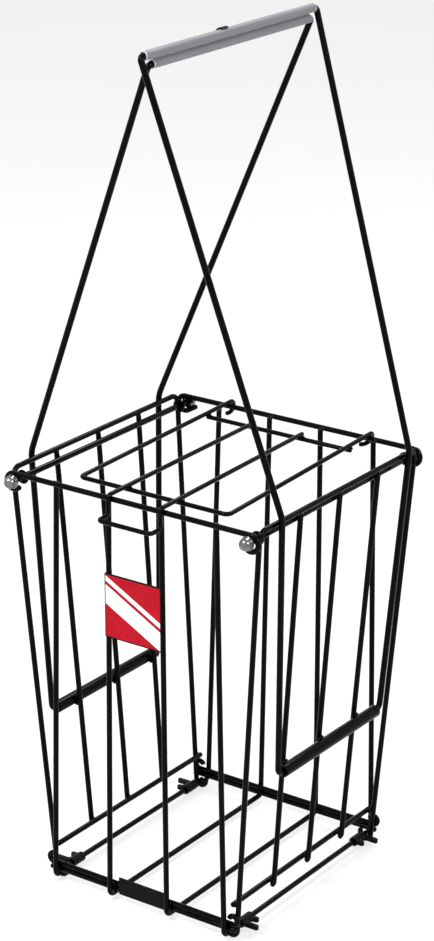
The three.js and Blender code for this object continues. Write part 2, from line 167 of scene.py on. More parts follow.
# Plates, and the bands across the sign
SIGN_BORDER = 1.3
SIGN_FACE_RELIEF = 0.25
PLATE_CORNER = 0.9
LEAST_CORNER_SHARE = 0.25
BAND_SLANT = math.radians(28)
BAND_OFFSET = -4
BAND_HALF = 7.5
THIN_BAND_OFFSET = 8.5
THIN_BAND_HALF = 2
BAND_WHITE = (0.86, 0.86, 0.87, 1)

# Weld beads under the coating, and how high and how close their lumps are
WELD_LENGTH = 7
WELD_WIDTH = 3.4
WELD_LUMP_SHARE = 0.16
WELD_LUMP_RATE = 1.7
TUBE_WELD_RISE = 3.4

# Rounded edges, as shares of the wall or the thickness that carries them
EDGE_SHARE = 0.25
TUBE_EDGE_SHARE = 0.3
CLIP_EDGE_SHARE = 1 / 7

# A wire's rounded end: how far in from the cut, and how wide there, in shares of the wire's radius
WIRE_END_SHARES = ((0, 0.45), (0.12, 0.78), (0.32, 0.94), (0.6, 1))

# Fineness of the round shapes
WIRE_SIDES = 16
TURNED_SIDES = 48
BEND_STEP = math.pi / 24
DOME_STEPS = 12
GRIP_CLIP_STEPS = 24
PLATE_CORNER_STEPS = 6
SLEEVE_SPANS = 60
WELD_SUBDIVISIONS = 2
SHARP_ANGLE = math.radians(40)

# The photograph's camera
CAMERA_AZIMUTH = 35.32
CAMERA_ELEVATION = 20.52
CAMERA_DISTANCE = 2326.3
CAMERA_TARGET = Vector((1.31, 0, 369.74))
SENSOR = 36
LENS = 105.2

# Studio, in metres. Each light has its name, azimuth, elevation, reach, diameter and power
LIGHTS = (
    ("key_light", -20, 52, 2.6, 0.7, 62),
    ("fill_light", 85, 35, 2.8, 0.8, 40),
    ("back_light", 190, 50, 2.6, 0.9, 36),
)
LIGHT_TARGET = Vector((0, 0, 0.38))
FLOOR_REACH = 9
FLOOR_SIDES = 96
FLOOR_CLEAR_SHARE = 0.72
VIEW_REACH = 40
WORLD_STRENGTH = 0.5
WHITE = (1, 1, 1, 1)

# Places worked out from the sizes above
FRAME_RADIUS = FRAME_WIRE / 2
LID_RADIUS = LID_WIRE / 2
HANDLE_RADIUS = HANDLE_WIRE / 2
AXLE_RADIUS = AXLE_ROD / 2
LOWER_ROD_RADIUS = LOWER_ROD / 2
WELD_SPACING = FRAME_WIRE + GAP
HOOK_HEIGHT = HOOK_RADIUS + FRAME_RADIUS
BOTTOM_BAR_HEIGHT = FLOOR_HEIGHT + WELD_SPACING
SECOND_BAR_HEIGHT = BOTTOM_BAR_HEIGHT + WELD_SPACING
BOTTOM_BAR_DEPTH = BAR_FOOT_HALF_DEPTH - WELD_SPACING
AXLE_HEIGHT = SIDE_RIM_HEIGHT - AXLE_DROP
EYE_RADIUS = AXLE_RADIUS + FRAME_RADIUS + EYE_PLAY
EYE_SHIFT = (EYE_PLAY - GAP) * math.cos(EYE_LEAN)
EYE_HEIGHT = AXLE_HEIGHT - (EYE_PLAY - GAP) * math.sin(EYE_LEAN)
END_RIM_HEIGHT = EYE_HEIGHT + EYE_RADIUS
BAR_TOP_DEPTH = RIM_HALF_DEPTH - WELD_SPACING
BAR_TOP_HEIGHT = END_RIM_HEIGHT + BAR_TOP_RISE
PANEL_SLOPE = (RIM_HALF_WIDTH - POST_FOOT_HALF_WIDTH) / (SIDE_RIM_HEIGHT - HOOK_HEIGHT)
PANEL_ANGLE = math.atan(PANEL_SLOPE)
POST_SLOPE = (BAR_TOP_DEPTH - POST_FOOT_HALF_DEPTH) / (SIDE_RIM_HEIGHT - HOOK_HEIGHT)


def panel_x(height):
    return POST_FOOT_HALF_WIDTH + (height - HOOK_HEIGHT) * PANEL_SLOPE


def post_depth(height):
    return POST_FOOT_HALF_DEPTH + (height - HOOK_HEIGHT) * POST_SLOPE


HOOK_X = POST_FOOT_HALF_WIDTH - HOOK_RADIUS / math.cos(PANEL_ANGLE)
SIDE_RAIL_X = panel_x(SIDE_RAIL_HEIGHT) - WELD_SPACING / math.cos(PANEL_ANGLE)
AXLE_X = panel_x(AXLE_HEIGHT) - (FRAME_RADIUS + GAP + AXLE_RADIUS) / math.cos(PANEL_ANGLE)
LOWER_ROD_HEIGHT = HOOK_HEIGHT - HOOK_RADIUS + FRAME_RADIUS + GAP + LOWER_ROD_RADIUS
PIVOT_X = panel_x(PIVOT_HEIGHT) + (FRAME_RADIUS + GAP + PIVOT_TUBE_RADIUS) / math.cos(PANEL_ANGLE)
RIM_CONTACT_X = RIM_HALF_WIDTH + FRAME_RADIUS + GAP + HANDLE_RADIUS
LEG_SLOPE = (RIM_CONTACT_X - PIVOT_X) / (SIDE_RIM_HEIGHT - PIVOT_HEIGHT)
LEG_LEAD = LEG_BEND + GAP
AXLE_BORE = AXLE_RADIUS + GAP
HANDLE_BORE = HANDLE_RADIUS + GAP
CAP_START = RIM_HALF_DEPTH + FRAME_RADIUS + GAP
LID_CURL = FRAME_RADIUS + GAP + LID_RADIUS
CURL_RADIUS = FRAME_RADIUS + LID_RADIUS + CURL_PLAY
LID_REST = END_RIM_HEIGHT + LID_CURL
LID_SPACING = LID_WIRE + GAP
LID_REAR_SHARE = (RIM_HALF_DEPTH - LID_CROSS_DEPTH) / (RIM_HALF_DEPTH + LID_FRONT_DEPTH)
LID_CROSS_HEIGHT = LID_REST - LID_SPACING * LID_REAR_SHARE - LID_SPACING
TAB_DEPTH = -RIM_HALF_DEPTH - LID_CURL

SIDES = (("left", -1), ("right", 1))
ENDS = (("front", -1), ("back", 1))

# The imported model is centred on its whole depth, and the sizes above on the basket's
rim_low, rim_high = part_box("rim_wire_back")
DEPTH_SHIFT = (rim_low.y + rim_high.y) / 2 / MM - RIM_HALF_DEPTH


def at(x, y, z):
    return Vector((x, y, z))


def arc(centre, start, along, radius, sweep):
    """Stations along an arc that starts at centre + start * radius and sets off in the direction along."""
    steps = max(2, math.ceil(sweep / BEND_STEP))
    turns = [sweep * i / steps for i in range(steps + 1)]
    return [centre + start * (radius * math.cos(t)) + along * (radius * math.sin(t)) for t in turns]


def bent(corners, bends):
    """Stations along a wire with straight runs, each inner corner rounded at its own bend radius."""
    stations = [corners[0]]
    for i, bend in enumerate(bends, 1):
        before = (corners[i] - corners[i - 1]).normalized()
        after = (corners[i + 1] - corners[i]).normalized()
        turn = before.angle(after)
        inward = (after - before).normalized()
        centre = corners[i] + inward * (bend / math.cos(turn / 2))
        start = corners[i] - before * (bend * math.tan(turn / 2))
        stations += arc(centre, (start - centre) / bend, before, bend, turn)
    stations.append(corners[-1])
    return stations


def circle_turns(sides):
    return [2 * math.pi * i / sides for i in range(sides)]


def mesh_object(name, bm, material):
    """A smooth-shaded object from a bmesh in millimetres, with its sharp edges kept."""
    bmesh.ops.transform(bm, matrix=Matrix.Translation((0, DEPTH_SHIFT, 0)), verts=bm.verts)
    bmesh.ops.scale(bm, vec=(MM, MM, MM), verts=bm.verts)
    bmesh.ops.recalc_face_normals(bm, faces=bm.faces)
    mesh = bpy.data.meshes.new(name)
    bm.to_mesh(mesh)
    bm.free()
    mesh.shade_smooth()
    mesh.set_sharp_from_angle(angle=SHARP_ANGLE)
    mesh.materials.append(material)
    piece = bpy.data.objects.new(name, mesh)
    bpy.context.scene.collection.objects.link(piece)
    return piece


def dress(piece, body, slot, *nodes):
    """Puts a finished piece on its body, and lets it stand for the CAD nodes that are named."""
    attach(piece, body)
    if nodes:
        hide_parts(*nodes)


def bridge_rings(bm, rings):
    """Faces from each ring of vertices to the next. A ring of one vertex closes the shape to a point."""
    for ring, following in zip(rings, rings[1:]):
        count = max(len(ring), len(following))
        for i in range(count):
            j = (i + 1) % count
            near = [ring[i % len(ring)], ring[j % len(ring)]]
            far = [following[j % len(following)], following[i % len(following)]]
            bm.faces.new(list(dict.fromkeys(near + far)))


def capped_rings(bm, rings):
    bridge_rings(bm, rings)
    bm.faces.new(rings[0])
    bm.faces.new(rings[-1])


def swept(bm, stations, radius):
    """A round wire along the stations, with its cut ends rounded off by the coating."""
    count = len(stations)
    tangents = []
    for i, here in enumerate(stations):
        tangent = Vector((0, 0, 0))
        if i > 0:
            tangent += (here - stations[i - 1]).normalized()
        if i < count - 1:
            tangent += (stations[i + 1] - here).normalized()
        tangents.append(tangent.normalized())

    def end_sections(i, inward):
        step = tangents[i] * inward * radius
        return [(stations[i] + step * inset, tangents[i], share) for inset, share in WIRE_END_SHARES]

    sections = end_sections(0, 1)
    sections += [(stations[i], tangents[i], 1) for i in range(1, count - 1)]
    sections += reversed(end_sections(-1, -1))
    normal = tangents[0].orthogonal().normalized()
    rings = []
    for centre, tangent, share in sections:
        normal = (normal - tangent * normal.dot(tangent)).normalized()
        side = tangent.cross(normal)
        around = [normal * math.cos(t) + side * math.sin(t) for t in circle_turns(WIRE_SIDES)]
        rings.append([bm.verts.new(centre + way * radius * share) for way in around])
    capped_rings(bm, rings)


def wire(node, stations, diameter, body="basket"):
    """A coated wire along the stations, which stands for its CAD node."""
    bm = bmesh.new()
    swept(bm, stations, diameter / 2)
    dress(mesh_object(node + "_coated", bm, COATED), body, "coated_wire", node)


def lathed(bm, outline, matrix):
    """Turns an outline of (radius, height) stations about Y. A radius of zero closes it on its axis."""
    rings = []
    for radius, height in outline:
        turns = circle_turns(TURNED_SIDES) if radius else [0]
        ring = [at(radius * math.cos(t), height, radius * math.sin(t)) for t in turns]
        rings.append([bm.verts.new(matrix @ p) for p in ring])
    bridge_rings(bm, rings)


def turned(name, outline, matrix, material):
    """An object whose outline is turned about Y."""
    bm = bmesh.new()
    lathed(bm, outline, matrix)
    return mesh_object(name, bm, material)


def rounded(outline, rounding):
    """An outline with its inner corners rounded, each at its own radius."""
    stations = bent([at(radius, height, 0) for radius, height in outline], rounding)
    return [(p.x, p.y) for p in stations]


def placed(x, y, z, facing=1):
    """A place to put a turned outline, which runs the other way along Y where it faces the front."""
    turn = Matrix.Rotation(math.pi, 4, "X") if facing < 0 else Matrix.Identity(4)
    return Matrix.Translation((x, y, z)) @ turn


def noise_node(tree, scale, detail, stretch=(1, 1, 1)):
    """A noise that stays with the piece, because it is laid out in the piece's own coordinates."""
    coordinates = tree.nodes.new("ShaderNodeTexCoord")
    mapping = tree.nodes.new("ShaderNodeMapping")
    mapping.inputs["Scale"].default_value = stretch
    texture = tree.nodes.new("ShaderNodeTexNoise")
    texture.inputs["Scale"].default_value = scale
    texture.inputs["Detail"].default_value = detail
    tree.links.new(coordinates.outputs["Object"], mapping.inputs["Vector"])
    tree.links.new(mapping.outputs["Vector"], texture.inputs["Vector"])
    return texture.outputs["Fac"]


def ramp(tree, stops, **grain):
    """A colour ramp over a noise, from (place, grey or colour) stops. A new ramp already has two."""
    node = tree.nodes.new("ShaderNodeValToRGB")
    for i, (place, tone) in enumerate(stops):
        element = node.color_ramp.elements[i] if i < 2 else node.color_ramp.elements.new(place)
        element.position = place
        element.color = (*tone, 1) if isinstance(tone, tuple) else (tone, tone, tone, 1)
    tree.links.new(noise_node(tree, **grain), node.inputs["Fac"])
    return node.outputs["Color"]


def bump(tree, strength, distance, **grain):
    node = tree.nodes.new("ShaderNodeBump")
    node.inputs["Strength"].default_value = strength
    node.inputs["Distance"].default_value = distance
    tree.links.new(noise_node(tree, **grain), node.inputs["Height"])
    return node.outputs["Normal"]


def textured(name, base, roughness, tone=None, gloss=None, relief=None, **sockets):
    """A material whose colour, roughness and relief may each follow a noise."""
    material = bpy.data.materials.new(name)
    material.use_nodes = True
    tree = material.node_tree
    principled = tree.nodes["Principled BSDF"]
    principled.inputs["Base Color"].default_value = (*base, 1)
    principled.inputs["Roughness"].default_value = roughness
    for socket, value in sockets.items():
        principled.inputs[socket.replace("_", " ")].default_value = value
    if tone:
        tree.links.new(ramp(tree, **tone), principled.inputs["Base Color"])
    if gloss:
        tree.links.new(ramp(tree, **gloss), principled.inputs["Roughness"])
    if relief:
        tree.links.new(bump(tree, **relief), principled.inputs["Normal"])
    return material


def math_node(tree, operation, *values):
    """A math node over its values, each a number or another node's output."""
    node = tree.nodes.new("ShaderNodeMath")
    node.operation = operation
    for socket, value in zip(node.inputs, values):
        if isinstance(value, (int, float)):
            socket.default_value = value
        else:
            tree.links.new(value, socket)
    return node.outputs[0]


def blended_shader(tree, share, first, second):
    blend = tree.nodes.new("ShaderNodeMixShader")
    tree.links.new(share, blend.inputs["Fac"])
    tree.links.new(first, blend.inputs[1])
    tree.links.new(second, blend.inputs[2])
    return blend.outputs["Shader"]


def coated_material():
    """Black dip coat: near black, with a slow unevenness in its gloss and a fine orange peel."""
    near_blacks = [(0.3, (0.0007, 0.0007, 0.0008)), (0.7, (0.0018, 0.0018, 0.0017))]
    return textured(
        "black_coat", base=(0.0012, 0.0012, 0.0012), roughness=0.16, Specular_IOR_Level=0.06,
        tone=dict(scale=70, detail=3, stops=near_blacks),
        gloss=dict(scale=45, detail=4, stops=[(0.3, 0.11), (0.7, 0.2)]),
        relief=dict(scale=420, detail=2, strength=0.05, distance=0.0001),
    )


def chrome_material():
    """Chrome plating with faint turning marks and a little haze in its gloss; its dim, patchy colour is a
    painted reflection of dark surroundings.
    """
    return textured(
        "chrome_painted_reflection", base=(0.18, 0.18, 0.19), roughness=0.14, Metallic=1,
        # Painted reflection: the dim colour and its dark and light patches stand for surroundings mirrored
        # in the plating
        tone=dict(scale=160, detail=2, stops=[(0.3, (0.12, 0.12, 0.13)), (0.7, (0.26, 0.26, 0.26))]),
        gloss=dict(scale=420, detail=3, stops=[(0.35, 0.1), (0.75, 0.17)]),
        relief=dict(scale=500, detail=1, stretch=(1, 0.1, 1), strength=0.02, distance=0.00005),
    )


def vinyl_material():
    """Grey vinyl sleeve with a violet cast, drawn lengthwise, with a slightly wavy skin."""
    greys = [(0.3, (0.165, 0.164, 0.182)), (0.52, (0.18, 0.179, 0.196)), (0.75, (0.197, 0.197, 0.206))]
    return textured(
        "grey_vinyl", base=(0.18, 0.18, 0.195), roughness=0.5, Specular_IOR_Level=0.1,
        tone=dict(scale=330, detail=3, stretch=(1, 0.06, 1), stops=greys),
        gloss=dict(scale=120, detail=2, stretch=(1, 0.2, 1), stops=[(0.3, 0.4), (0.7, 0.52)]),
        relief=dict(scale=200, detail=2, stretch=(1, 0.2, 1), strength=0.03, distance=0.0001),
    )


def cut_vinyl_material():
    """The sleeve's cut ends, paler because light gets into the wall there."""
    return textured(
        "cut_vinyl", base=(0.5, 0.5, 0.52), roughness=0.45, Subsurface_Weight=0.3, Subsurface_Scale=0.001,
        tone=dict(scale=700, detail=2, stops=[(0.3, (0.44, 0.44, 0.47)), (0.7, (0.6, 0.6, 0.61))]),
    )


def moulded_material():
    """Black moulded plastic with a fine matt grain."""
    near_blacks = [(0.3, (0.0018, 0.0018, 0.0019)), (0.7, (0.0042, 0.0042, 0.0041))]
    return textured(
        "black_plastic", base=(0.003, 0.003, 0.003), roughness=0.45, Specular_IOR_Level=0.07,
        tone=dict(scale=140, detail=3, stops=near_blacks),
        gloss=dict(scale=260, detail=3, stops=[(0.3, 0.36), (0.7, 0.55)]),
        relief=dict(scale=1500, detail=2, strength=0.2, distance=0.00015),
    )


def band_mask(tree, height, offset, half):
    """1 within half a band's width of its middle line, which lies at the offset."""
    away = math_node(tree, "ABSOLUTE", math_node(tree, "SUBTRACT", height, offset * MM))
    return math_node(tree, "LESS_THAN", away, half * MM)


def sign_material():
    """Red gloss enamel with a wide and a narrow white band, both slanting, and a faint print unevenness."""
    material = textured(
        "sign_enamel", base=(0.42, 0.001, 0.012), roughness=0.35, Specular_IOR_Level=0.1,
        gloss=dict(scale=90, detail=3, stops=[(0.3, 0.24), (0.7, 0.38)]),
        relief=dict(scale=500, detail=2, strength=0.08, distance=0.0001),
    )
    tree = material.node_tree
    reds = [(0.3, (0.37, 0.0006, 0.009)), (0.7, (0.45, 0.001, 0.013))]
    coordinates = tree.nodes.new("ShaderNodeTexCoord")
    slanted = tree.nodes.new("ShaderNodeMapping")
    slanted.inputs["Rotation"].default_value = (0, -BAND_SLANT, 0)
    split = tree.nodes.new("ShaderNodeSeparateXYZ")
    tree.links.new(coordinates.outputs["Object"], slanted.inputs["Vector"])
    tree.links.new(slanted.outputs["Vector"], split.inputs["Vector"])
    wide = band_mask(tree, split.outputs["Z"], BAND_OFFSET, BAND_HALF)
    narrow = band_mask(tree, split.outputs["Z"], THIN_BAND_OFFSET, THIN_BAND_HALF)
    mix = tree.nodes.new("ShaderNodeMix")
    mix.data_type = "RGBA"
    mix.inputs["B"].default_value = BAND_WHITE
    tree.links.new(math_node(tree, "MAXIMUM", wide, narrow), mix.inputs["Factor"])
    tree.links.new(ramp(tree, reds, scale=55, detail=4), mix.inputs["A"])
    tree.links.new(mix.outputs["Result"], tree.nodes["Principled BSDF"].inputs["Base Color"])
    return material


COATED = coated_material()
CHROME = chrome_material()
VINYL = vinyl_material()
CUT_VINYL = cut_vinyl_material()
MOULDED = moulded_material()
SIGN = sign_material()


def make_rim_wires():
    """Front and back rim wires, each with an eye round an axle at both its ends."""
    for end_name, end in ENDS:
        eyes = []
        for side in (-1, 1):
            centre = at(side * (AXLE_X + EYE_SHIFT), end * RIM_HALF_DEPTH, EYE_HEIGHT)
            eye = arc(centre, at(0, 0, 1), at(side, 0, 0), EYE_RADIUS, EYE_SWEEP)
            leaving = at(side * math.cos(EYE_SWEEP), 0, -math.sin(EYE_SWEEP))
            eyes.append([*eye, eye[-1] + leaving * EYE_TAILS[end_name]])
        wire("rim_wire_" + end_name, [*reversed(eyes[0]), *eyes[1]], FRAME_WIRE)


def make_side_frame(side_name, side):
    """Side rim, both corner posts and their J hooks, all of one wire."""
    def hook(end):
        centre = at(side * HOOK_X, end * POST_FOOT_HALF_DEPTH, HOOK_HEIGHT)
        turn = arc(centre, at(-side, 0, 0), at(0, 0, -1), HOOK_RADIUS, math.pi - PANEL_ANGLE)
        return [turn[0] + at(0, 0, HOOK_STUB), *turn]

    front = hook(-1)
    back = hook(1)
    corners = [
        front.pop(),
        at(side * RIM_HALF_WIDTH, -BAR_TOP_DEPTH, SIDE_RIM_HEIGHT),
        at(side * RIM_HALF_WIDTH, BAR_TOP_DEPTH, SIDE_RIM_HEIGHT),
        back.pop(),
    ]
    stations = [*front, *bent(corners, (POST_BEND, POST_BEND)), *reversed(back)]
    wire("side_frame_" + side_name, stations, FRAME_WIRE)


def bar_foot(x, end, sweep):
    centre = at(x, end * BOTTOM_BAR_DEPTH, BOTTOM_BAR_HEIGHT)
    return arc(centre, at(0, end, 0), at(0, 0, -1), WELD_SPACING, sweep)


def bar_top(x, end):
    return at(x + BAR_TOP_SHIFT, end * BAR_TOP_DEPTH, BAR_TOP_HEIGHT)


def make_front_and_back_bars():
    """Outer bars that end under the bottom bars, and inner ones that run on as the floor's wires."""
    quarter = math.pi / 2
    for side_name, side in SIDES:
        top_x = side * OUTER_BAR_TOP_X
        foot_x = side * OUTER_BAR_FOOT_X
        for end_name, end in ENDS:
            stations = [bar_top(top_x, end), *bar_foot(foot_x, end, BAR_HOOK_SWEEP)]
            wire(f"outer_bar_{end_name}_{side_name}", stations, FRAME_WIRE)
        top_x = side * INNER_BAR_TOP_X
        foot_x = side * INNER_BAR_FOOT_X
        front = [bar_top(top_x, -1), *bar_foot(foot_x, -1, quarter)]
        back = [bar_top(top_x, 1), *bar_foot(foot_x, 1, quarter)]
        wire("grid_wire_" + side_name, [*front, *reversed(back)], FRAME_WIRE)


def make_bottom_bars():
    """Front and back bottom bars, and above each a second one that ends in a ring on both sides."""
    reach = POST_FOOT_HALF_WIDTH + FRAME_RADIUS
    for end_name, end in ENDS:
        y = end * BOTTOM_BAR_DEPTH
        bar = [at(-reach, y, BOTTOM_BAR_HEIGHT), at(reach, y, BOTTOM_BAR_HEIGHT)]
        wire("bottom_bar_" + end_name, bar, FRAME_WIRE)
        rings = []
        for side in (-1, 1):
            centre = at(side * (POST_FOOT_HALF_WIDTH - RING_INSET), y, SECOND_BAR_HEIGHT + RING_RADIUS)
            rings.append(arc(centre, at(0, 0, -1), at(side, 0, 0), RING_RADIUS, RING_SWEEP))
        wire("ring_bar_" + end_name, [*reversed(rings[0]), *rings[1]], FRAME_WIRE)


def make_side_bars(side_name, side):
    """Three bars that hang from the side rim and hook round the side rail."""
    top = SIDE_RIM_HEIGHT - FRAME_RADIUS - GAP
    outward = at(side * math.cos(PANEL_ANGLE), 0, -math.sin(PANEL_ANGLE))
    down = at(-side * math.sin(PANEL_ANGLE), 0, -math.cos(PANEL_ANGLE))
    for place_name, place in (("front", -1), ("middle", 0), ("back", 1)):
        rail = at(side * SIDE_RAIL_X, place * SIDE_BAR_FOOT_Y, SIDE_RAIL_HEIGHT)
        stations = [
            at(side * panel_x(top), place * SIDE_BAR_TOP_Y, top),
            *arc(rail, outward, down, WELD_SPACING, RAIL_HOOK_SWEEP),
        ]
        wire(f"side_bar_{side_name}_{place_name}", stations, FRAME_WIRE)


def make_lengthwise_rods(side_name, side):
    """The side rail inside the corner posts, and the lower rod that lies in their hooks."""
    reach = post_depth(SIDE_RAIL_HEIGHT) + FRAME_RADIUS
    x = side * SIDE_RAIL_X
    rail = [at(x, -reach, SIDE_RAIL_HEIGHT), at(x, reach, SIDE_RAIL_HEIGHT)]
    wire("side_rail_" + side_name, rail, FRAME_WIRE)
    reach = POST_FOOT_HALF_DEPTH + FRAME_RADIUS
    x = side * HOOK_X
    rod = [at(x, -reach, LOWER_ROD_HEIGHT), at(x, reach, LOWER_ROD_HEIGHT)]
    wire("lower_rod_" + side_name, rod, LOWER_ROD)


def cap_outline():
    """A cap nut's outline from its open end: flange, collar, and a dome that closes on the axis."""
    bore_depth = CAP_HEIGHT - CAP_FLANGE_THICKNESS
    dome = []
    for i in range(DOME_STEPS):
        turn = math.pi / 2 * i / DOME_STEPS
        height = CAP_HEIGHT - CAP_DOME_RADIUS * (1 - math.sin(turn))
        dome.append((CAP_DOME_RADIUS * math.cos(turn), height))
    corners = [
        (AXLE_BORE, 0), (CAP_FLANGE_RADIUS, 0), (CAP_FLANGE_RADIUS, CAP_FLANGE_THICKNESS),
        (CAP_COLLAR_RADIUS, CAP_FLANGE_THICKNESS), (CAP_COLLAR_RADIUS, CAP_COLLAR_HEIGHT),
        (CAP_DOME_RADIUS, CAP_COLLAR_HEIGHT), dome[0],
    ]
    smooth = rounded(corners, [CAP_FLANGE_THICKNESS * EDGE_SHARE] * (len(corners) - 2))
    return [(0, bore_depth), (AXLE_BORE, bore_depth), *smooth, *dome[1:], (0, CAP_HEIGHT)]


def washer_outline():
    """A washer's closed outline: its hub stands on the post's side of its flange."""
    face = -WASHER_HUB_LENGTH - WASHER_THICKNESS
    corners = [
        (AXLE_BORE, face), (WASHER_RADIUS, face), (WASHER_RADIUS, -WASHER_HUB_LENGTH),
        (WASHER_HUB_RADIUS, -WASHER_HUB_LENGTH), (WASHER_HUB_RADIUS, 0), (AXLE_BORE, 0),
    ]
    smooth = rounded(corners, [WASHER_THICKNESS * EDGE_SHARE] * (len(corners) - 2))
    return [*smooth, corners[0]]


def make_axle(side_name, side):
    """An axle through the eyes, with a washer and a cap nut at each end."""
    reach = CAP_START + CAP_HEIGHT - CAP_FLANGE_THICKNESS - GAP
    x = side * AXLE_X
    wire("axle_" + side_name, [at(x, -reach, AXLE_HEIGHT), at(x, reach, AXLE_HEIGHT)], AXLE_ROD)
    washer_start = post_depth(AXLE_HEIGHT) - FRAME_RADIUS - GAP
    for end_name, end in ENDS:
        name = f"{end_name}_{side_name}"
        place = placed(x, end * CAP_START, AXLE_HEIGHT, end)
        cap = turned("cap_nut_chrome_" + name, cap_outline(), place, CHROME)
        dress(cap, "basket", "chrome", "cap_nut_" + name)
        place = placed(x, end * washer_start, AXLE_HEIGHT, end)
        washer = turned("washer_coated_" + name, washer_outline(), place, COATED)
        dress(washer, "basket", "coated_wire", "washer_" + name)


def leg_share_at_rod(handle):
    """How far below the pivot a leg passes the lower rod, as a share of the leg's straight run."""
    return (PIVOT_HEIGHT - LOWER_ROD_HEIGHT) / (handle.bend_height - PIVOT_HEIGHT)


def tube_ends(side):
    """Where a pivot tube starts and ends. Its long end brings a leg to a clip that clears the post."""
    handle = HANDLES["right"]
    share = leg_share_at_rod(handle)
    leg_depth = POST_FOOT_HALF_DEPTH - FRAME_RADIUS - CLIP_POST_GAP - CLIP_LENGTH / 2
    long_end = (leg_depth - (handle.bend_shift + handle.bend_half) * share) / (1 - share) - LEG_LEAD
    return (-TUBE_SHORT_END, long_end) if side > 0 else (-long_end, TUBE_SHORT_END)


def tube_outline(inner, outer, low, high):
    """A tube's closed outline about Y, its outer and inner edges rounded."""
    edge = (outer - inner) * TUBE_EDGE_SHARE
    corners = [((inner + outer) / 2, low), (outer, low), (outer, high), (inner, high), (inner, low)]
    corners.append(corners[0])
    return rounded(corners, (edge, edge, edge, edge))


def make_handle_wire(side_name, side):
    """A handle's wire: out of the pivot tube, up one leg, across the grip, and down the other leg."""
    handle = HANDLES[side_name]
    front, back = tube_ends(side)
    x = side * PIVOT_X
    bend_x = side * (PIVOT_X + LEG_SLOPE * (handle.bend_height - PIVOT_HEIGHT))
    corners = [
        at(x, front + TUBE_INSERT, PIVOT_HEIGHT),
        at(x, front - LEG_LEAD, PIVOT_HEIGHT),
        at(bend_x, handle.bend_shift - handle.bend_half, handle.bend_height),
        at(handle.grip_x, handle.grip_shift - handle.grip_half, handle.grip_height),
        at(handle.grip_x, handle.grip_shift + handle.grip_half, handle.grip_height),
        at(bend_x, handle.bend_shift + handle.bend_half, handle.bend_height),
        at(x, back + LEG_LEAD, PIVOT_HEIGHT),
        at(x, back - TUBE_INSERT, PIVOT_HEIGHT),
    ]
    bends = (LEG_BEND, RIM_BEND, GRIP_BEND, GRIP_BEND, RIM_BEND, LEG_BEND)
    wire("handle_wire_" + side_name, bent(corners, bends), HANDLE_WIRE, "handle_" + side_name)


def make_grip_sleeve(side_name):
    """A sleeve's slightly wavy skin, and a lip with the cut wall at each end."""
    handle = HANDLES[side_name]
    body = "handle_" + side_name
    half = handle.grip_half - GRIP_BEND - GAP
    low, high = handle.grip_shift - half, handle.grip_shift + half
    middle = placed(handle.grip_x, 0, handle.grip_height)
    lip = (SLEEVE_RADIUS - HANDLE_BORE) * SLEEVE_LIP_SHARE
    skin = []
    for i in range(SLEEVE_SPANS + 1):
        y = low + lip + (high - low - 2 * lip) * i / SLEEVE_SPANS
        wave = SLEEVE_WAVE * noise.noise(at(y * SLEEVE_WAVE_RATE, handle.grip_height, 0)) - SLEEVE_WAVE
        skin.append((SLEEVE_RADIUS + wave, y))
    sleeve = turned("grip_sleeve_vinyl_" + side_name, skin, middle, VINYL)
    dress(sleeve, body, "grey_vinyl", "grip_sleeve_" + side_name)
    rounding = [lip * share for share in SLEEVE_ROUNDING_SHARES]
    for (end_name, end), y in zip(ENDS, (low, high)):
        corners = [
            (HANDLE_BORE, y - end * SLEEVE_RADIUS), (HANDLE_BORE, y), (SLEEVE_RADIUS - lip, y),
            (SLEEVE_RADIUS, y), (SLEEVE_RADIUS - SLEEVE_WAVE, y - end * lip),
        ]
        name = f"grip_sleeve_cut_{end_name}_{side_name}"
        dress(turned(name, rounded(corners, rounding), middle, CUT_VINYL), body, "grey_vinyl")


def make_pivot_tube(side_name, side):
    outline = tube_outline(HANDLE_BORE, PIVOT_TUBE_RADIUS, *tube_ends(side))
    tube = turned("pivot_tube_coated_" + side_name, outline, placed(side * PIVOT_X, 0, PIVOT_HEIGHT), COATED)
    dress(tube, "basket", "coated_wire", "pivot_tube_" + side_name)


def make_grip_clip():
    """Bent spring strip that hugs the far upper side of the upper sleeve."""
    handle = HANDLES["right"]
    inner = SLEEVE_RADIUS + GAP
    outer = inner + GRIP_CLIP_WALL
    low = GRIP_CLIP_PLACE - GRIP_CLIP_LENGTH / 2
    high = low + GRIP_CLIP_LENGTH
    edge = GRIP_CLIP_WALL * EDGE_SHARE
    section = [
        (inner + edge, low), (outer - edge, low), (outer, low + edge), (outer, high - edge),
        (outer - edge, high), (inner + edge, high), (inner, high - edge), (inner, low + edge),
    ]
    bm = bmesh.new()
    rings = []
    for i in range(GRIP_CLIP_STEPS + 1):
        turn = GRIP_CLIP_START + GRIP_CLIP_SWEEP * i / GRIP_CLIP_STEPS
        across, up = math.cos(turn), math.sin(turn)
        ring = [at(handle.grip_x + r * across, y, handle.grip_height + r * up) for r, y in section]
        rings.append([bm.verts.new(p) for p in ring])
    capped_rings(bm, rings)
    dress(mesh_object("grip_clip_moulded", bm, MOULDED), "handle_right", "black_plastic", "grip_clip")


def leg_depth_at_rod(side_name, side, end):
    handle = HANDLES[side_name]
    tube_corner = tube_ends(side)[0 if end < 0 else 1] + end * LEG_LEAD
    bend_corner = handle.bend_shift + end * handle.bend_half
    return tube_corner + (bend_corner - tube_corner) * leg_share_at_rod(handle)


